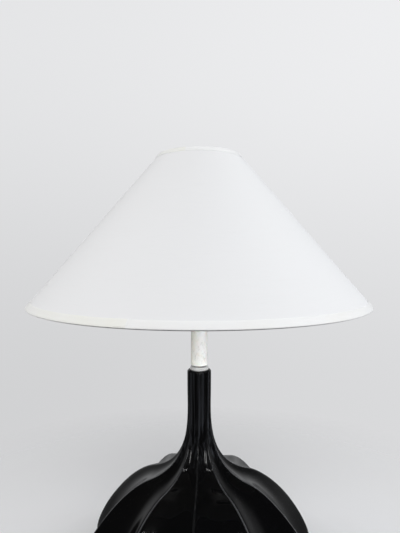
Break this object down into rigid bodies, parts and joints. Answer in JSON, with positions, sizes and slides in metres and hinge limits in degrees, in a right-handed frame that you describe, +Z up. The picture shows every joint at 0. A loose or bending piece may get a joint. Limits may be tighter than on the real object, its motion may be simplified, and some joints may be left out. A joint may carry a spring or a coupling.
{
  "type": "table lamp",
  "caption": "Tall table lamp with a fluted glazed ceramic gourd base, a white stem tube, a screw lampholder and a wide conical shade.",
  "frame": {"origin": "middle of the felt ring's underside, on the table", "axes": "+Z up along the rod and the shade's axis; -Y is the front, and the cord inlet is at the back, towards +Y"},
  "size_m": [0.5, 0.5, 0.712],
  "materials": {
    "black_glaze": "gloss",
    "felt": "matt",
    "black_rubber": "matt",
    "zinc_steel": "satin",
    "pale_steel": "satin",
    "cream_plastic": "satin",
    "white_plastic": "satin",
    "brass": "satin",
    "shade_laminate": "matt",
    "shade_tape": "matt",
    "white_wire": "satin",
    "opal_glass": "satin",
    "dark_glass": "gloss",
    "clear_glass": "gloss",
    "tungsten": "satin"
  },
  "bodies": {
    "base": {"felt_ring": "felt", "ceramic_body": "black_glaze", "cord_bushing": "black_rubber", "threaded_rod": "zinc_steel", "base_washer": "zinc_steel", "base_lock_washer": "zinc_steel", "base_nut": "zinc_steel", "neck_collar": "pale_steel", "stem_tube": "cream_plastic", "stem_top_washer": "zinc_steel", "holder_cap": "white_plastic", "rod_lock_screw": "zinc_steel", "holder_shell": "white_plastic", "holder_core": "white_plastic", "terminal_screw_live": "brass", "terminal_screw_neutral": "brass", "contact_shell": "brass", "centre_contact": "brass", "shade_seat_ring": "white_plastic"},
    "clamp_ring": {"shade_clamp_ring": "white_plastic"},
    "shade": {"shade_laminate": "shade_laminate", "shade_bottom_tape": "shade_tape", "shade_top_tape": "shade_tape", "shade_bottom_wire": "white_wire", "shade_top_wire": "white_wire", "spider_arm_1": "white_wire", "spider_arm_2": "white_wire", "spider_arm_3": "white_wire", "fitter_ring": "white_wire"},
    "bulb": {"bulb_tip": "zinc_steel", "bulb_insulator": "dark_glass", "bulb_cap": "zinc_steel", "bulb_glass": "opal_glass", "bulb_mount": "clear_glass", "bulb_filament": "tungsten"}
  },
  "joints": [
    {"name": "shade_turn", "type": "hinge", "parent": "base", "child": "shade", "pos_m": [0, 0, 0.5613], "axis": [0, 0, 1], "continuous": true},
    {"name": "clamp_ring_travel", "type": "slide", "parent": "base", "child": "clamp_ring", "axis": [0, 0, 1], "range_m": [0, 0.012]},
    {"name": "bulb_lift", "type": "slide", "parent": "base", "child": "bulb", "axis": [0, 0, 1], "range_m": [0, 0.17]}
  ]
}
